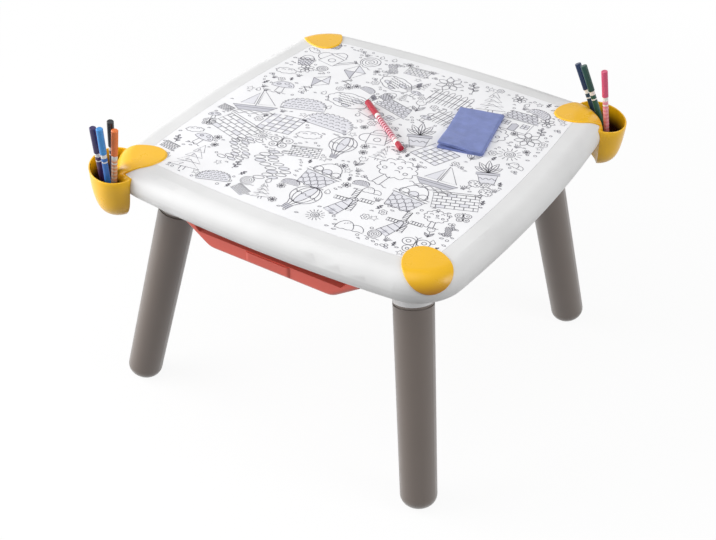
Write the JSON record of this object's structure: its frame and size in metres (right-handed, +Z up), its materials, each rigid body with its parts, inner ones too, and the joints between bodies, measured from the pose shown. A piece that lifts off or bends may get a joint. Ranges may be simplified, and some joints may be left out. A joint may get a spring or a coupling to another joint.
{
  "type": "children's activity table",
  "caption": "Low square activity table with a pillow rim, splayed round legs, a drawing board top, corner caps, hook-on pen cups, a slide-out drawer, capped felt pens and a folded cloth.",
  "frame": {"origin": "on the floor, under the middle of the table top", "axes": "+Z up, -Y towards the side that the drawer opens to, +X to the right as seen from that side"},
  "size_m": [0.6552, 0.6575, 0.5131],
  "materials": {
    "white_plastic": "satin moulded",
    "taupe_plastic": "satin moulded",
    "yellow_plastic": "glossy moulded",
    "coral_plastic": "glossy moulded",
    "board": "smooth, printed",
    "steel": "zinc plated",
    "pen_white": "glossy moulded",
    "felt": "pressed fibre",
    "cloth": "soft woven",
    "pen_navy": "glossy moulded",
    "pen_sky": "glossy moulded",
    "pen_black": "glossy moulded",
    "pen_orange": "glossy moulded",
    "pen_blue": "glossy moulded",
    "pen_green": "glossy moulded",
    "pen_pink": "glossy moulded",
    "pen_red": "glossy moulded"
  },
  "bodies": {
    "table": {"table_top": "white_plastic", "table_underside": "white_plastic", "shell_screws": "steel", "drawing_board": "board", "leg_left": "taupe_plastic", "leg_front": "taupe_plastic", "leg_right": "taupe_plastic", "leg_back": "taupe_plastic", "drawer_runner_left": "white_plastic", "drawer_runner_right": "white_plastic", "runner_screws": "steel", "corner_cap_front": "yellow_plastic", "corner_cap_back": "yellow_plastic", "pen_cup_left": "yellow_plastic", "pen_cup_right": "yellow_plastic"},
    "drawer": {"drawer": "coral_plastic"},
    "cleaning_cloth": {"cleaning_cloth": "cloth"},
    "pen_navy": {"pen_navy_barrel": "pen_white", "pen_navy_plug": "pen_navy", "pen_navy_nib": "felt"},
    "pen_navy_cap": {"pen_navy_cap": "pen_navy"},
    "pen_sky": {"pen_sky_barrel": "pen_white", "pen_sky_plug": "pen_sky", "pen_sky_nib": "felt"},
    "pen_sky_cap": {"pen_sky_cap": "pen_sky"},
    "pen_black": {"pen_black_barrel": "pen_white", "pen_black_plug": "pen_black", "pen_black_nib": "felt"},
    "pen_black_cap": {"pen_black_cap": "pen_black"},
    "pen_orange": {"pen_orange_barrel": "pen_white", "pen_orange_plug": "pen_orange", "pen_orange_nib": "felt"},
    "pen_orange_cap": {"pen_orange_cap": "pen_orange"},
    "pen_blue": {"pen_blue_barrel": "pen_white", "pen_blue_plug": "pen_blue", "pen_blue_nib": "felt"},
    "pen_blue_cap": {"pen_blue_cap": "pen_blue"},
    "pen_green": {"pen_green_barrel": "pen_white", "pen_green_plug": "pen_green", "pen_green_nib": "felt"},
    "pen_green_cap": {"pen_green_cap": "pen_green"},
    "pen_pink": {"pen_pink_barrel": "pen_white", "pen_pink_plug": "pen_pink", "pen_pink_nib": "felt"},
    "pen_pink_cap": {"pen_pink_cap": "pen_pink"},
    "pen_red": {"pen_red_barrel": "pen_white", "pen_red_plug": "pen_red", "pen_red_nib": "felt"},
    "pen_red_cap": {"pen_red_cap": "pen_red"}
  },
  "joints": [
    {"name": "drawer_slide", "type": "slide", "parent": "table", "child": "drawer", "axis": [0, -1, 0], "range_m": [0, 0.2]},
    {"name": "cloth_lift", "type": "slide", "parent": "table", "child": "cleaning_cloth", "axis": [0, 0, 1], "range_m": [0, 0.1]},
    {"name": "pen_navy_lift", "type": "slide", "parent": "table", "child": "pen_navy", "axis": [0.0879, -0.1381, 0.9865], "range_m": [0, 0.09]},
    {"name": "pen_navy_cap_pull", "type": "slide", "parent": "pen_navy", "child": "pen_navy_cap", "axis": [0.0879, -0.1381, 0.9865], "range_m": [0, 0.03]},
    {"name": "pen_sky_lift", "type": "slide", "parent": "table", "child": "pen_sky", "axis": [0.0958, -0.1167, 0.9885], "range_m": [0, 0.09]},
    {"name": "pen_sky_cap_pull", "type": "slide", "parent": "pen_sky", "child": "pen_sky_cap", "axis": [0.0958, -0.1167, 0.9885], "range_m": [0, 0.03]},
    {"name": "pen_black_lift", "type": "slide", "parent": "table", "child": "pen_black", "axis": [0.1627, -0.0807, 0.9834], "range_m": [0, 0.09]},
    {"name": "pen_black_cap_pull", "type": "slide", "parent": "pen_black", "child": "pen_black_cap", "axis": [0.1627, -0.0807, 0.9834], "range_m": [0, 0.03]},
    {"name": "pen_orange_lift", "type": "slide", "parent": "table", "child": "pen_orange", "axis": [0.1927, -0.0374, 0.9805], "range_m": [0, 0.09]},
    {"name": "pen_orange_cap_pull", "type": "slide", "parent": "pen_orange", "child": "pen_orange_cap", "axis": [0.1927, -0.0374, 0.9805], "range_m": [0, 0.03]},
    {"name": "pen_blue_lift", "type": "slide", "parent": "table", "child": "pen_blue", "axis": [-0.4435, -0.0203, 0.896], "range_m": [0, 0.09]},
    {"name": "pen_blue_cap_pull", "type": "slide", "parent": "pen_blue", "child": "pen_blue_cap", "axis": [-0.4435, -0.0203, 0.896], "range_m": [0, 0.03]},
    {"name": "pen_green_lift", "type": "slide", "parent": "table", "child": "pen_green", "axis": [-0.4061, -0.0645, 0.9116], "range_m": [0, 0.09]},
    {"name": "pen_green_cap_pull", "type": "slide", "parent": "pen_green", "child": "pen_green_cap", "axis": [-0.4061, -0.0645, 0.9116], "range_m": [0, 0.03]},
    {"name": "pen_pink_lift", "type": "slide", "parent": "table", "child": "pen_pink", "axis": [-0.1485, -0.076, 0.986], "range_m": [0, 0.09]},
    {"name": "pen_pink_cap_pull", "type": "slide", "parent": "pen_pink", "child": "pen_pink_cap", "axis": [-0.1485, -0.076, 0.986], "range_m": [0, 0.03]},
    {"name": "pen_red_lift", "type": "slide", "parent": "table", "child": "pen_red", "axis": [0, 0, 1], "range_m": [0, 0.1]},
    {"name": "pen_red_cap_pull", "type": "slide", "parent": "pen_red", "child": "pen_red_cap", "axis": [-0.7826, 0.6225, 0.0064], "range_m": [0, 0.03]}
  ]
}
